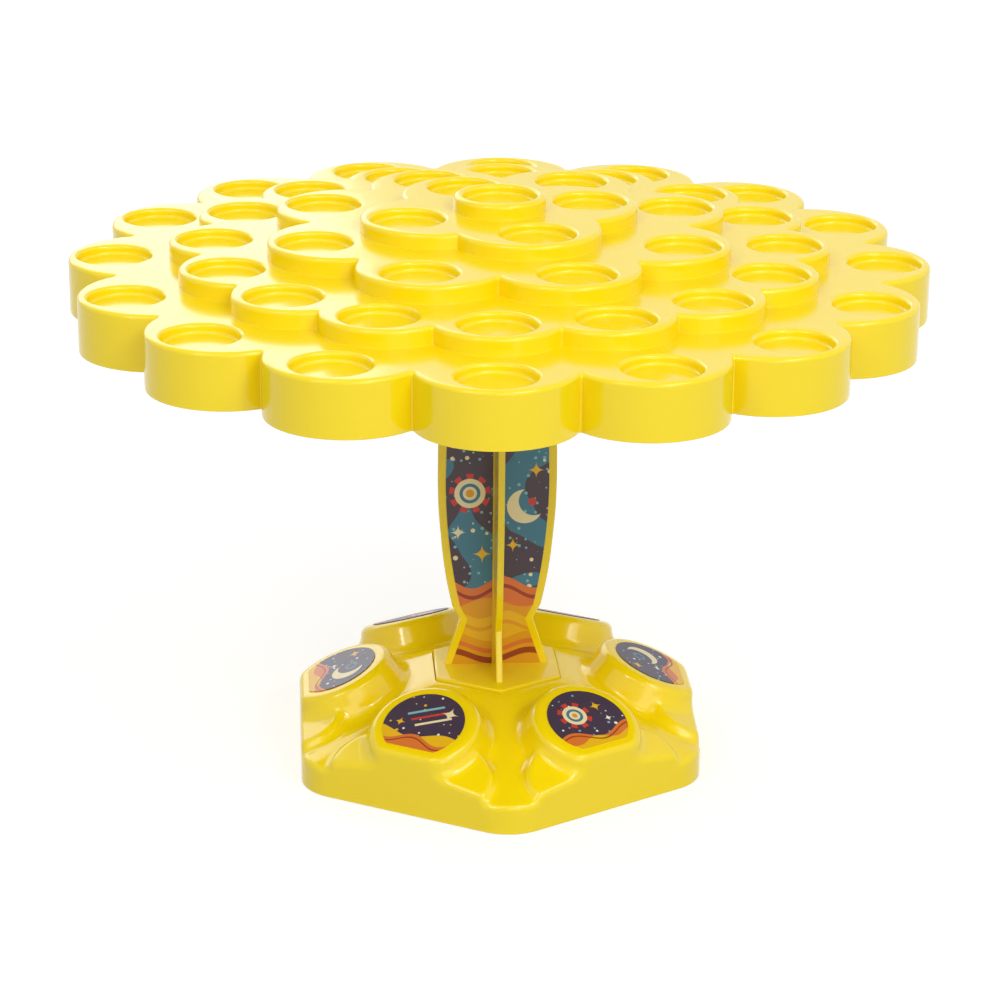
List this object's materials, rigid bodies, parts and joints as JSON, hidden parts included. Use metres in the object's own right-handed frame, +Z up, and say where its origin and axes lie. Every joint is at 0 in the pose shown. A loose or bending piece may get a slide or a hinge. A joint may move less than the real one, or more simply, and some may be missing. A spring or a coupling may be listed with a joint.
{
  "type": "balancing tree game",
  "caption": "Stepped flower-shaped tray with shallow round cups, free to tilt and turn on the tip of a cross-ribbed trunk that stands in a six-sided moulded base.",
  "frame": {"origin": "on the ground, below the trunk's axis", "axes": "+Z up; -Y points to the corner of the base in front of the plain rib, and the trunk's printed plate lies in the XZ plane"},
  "size_m": [0.1994, 0.1994, 0.1375],
  "materials": {
    "crown_plastic": "glossy injection-moulded yellow",
    "trunk_plastic": "glossy injection-moulded yellow",
    "base_plastic": "glossy injection-moulded yellow",
    "trunk_label": "satin printed label, night sky over orange ground",
    "base_label": "satin printed label, night sky over orange ground",
    "pivot_plastic": "natural nylon"
  },
  "bodies": {
    "stand": {"base_shell": "base_plastic", "trunk": "trunk_plastic", "trunk_print_front_left": "trunk_label", "trunk_print_front_right": "trunk_label", "trunk_print_back_left": "trunk_label", "trunk_print_back_right": "trunk_label", "base_medallion_1": "base_label", "base_medallion_2": "base_label", "base_medallion_3": "base_label", "base_medallion_4": "base_label", "base_medallion_5": "base_label", "base_medallion_6": "base_label"},
    "pivot_pin": {"pivot_pin": "pivot_plastic"},
    "pivot_thimble": {"pivot_thimble": "pivot_plastic"},
    "crown": {"crown_tray": "crown_plastic"}
  },
  "joints": [
    {"name": "crown_spin", "type": "hinge", "parent": "stand", "child": "pivot_pin", "pos_m": [0, 0, 0.12855], "axis": [0, 0, 1], "continuous": true},
    {"name": "crown_tilt_side", "type": "hinge", "parent": "pivot_pin", "child": "pivot_thimble", "pos_m": [0, 0, 0.12855], "axis": [1, 0, 0], "range_deg": [-12, 12]},
    {"name": "crown_tilt_front", "type": "hinge", "parent": "pivot_thimble", "child": "crown", "pos_m": [0, 0, 0.12855], "axis": [0, 1, 0], "range_deg": [-12, 12]}
  ]
}
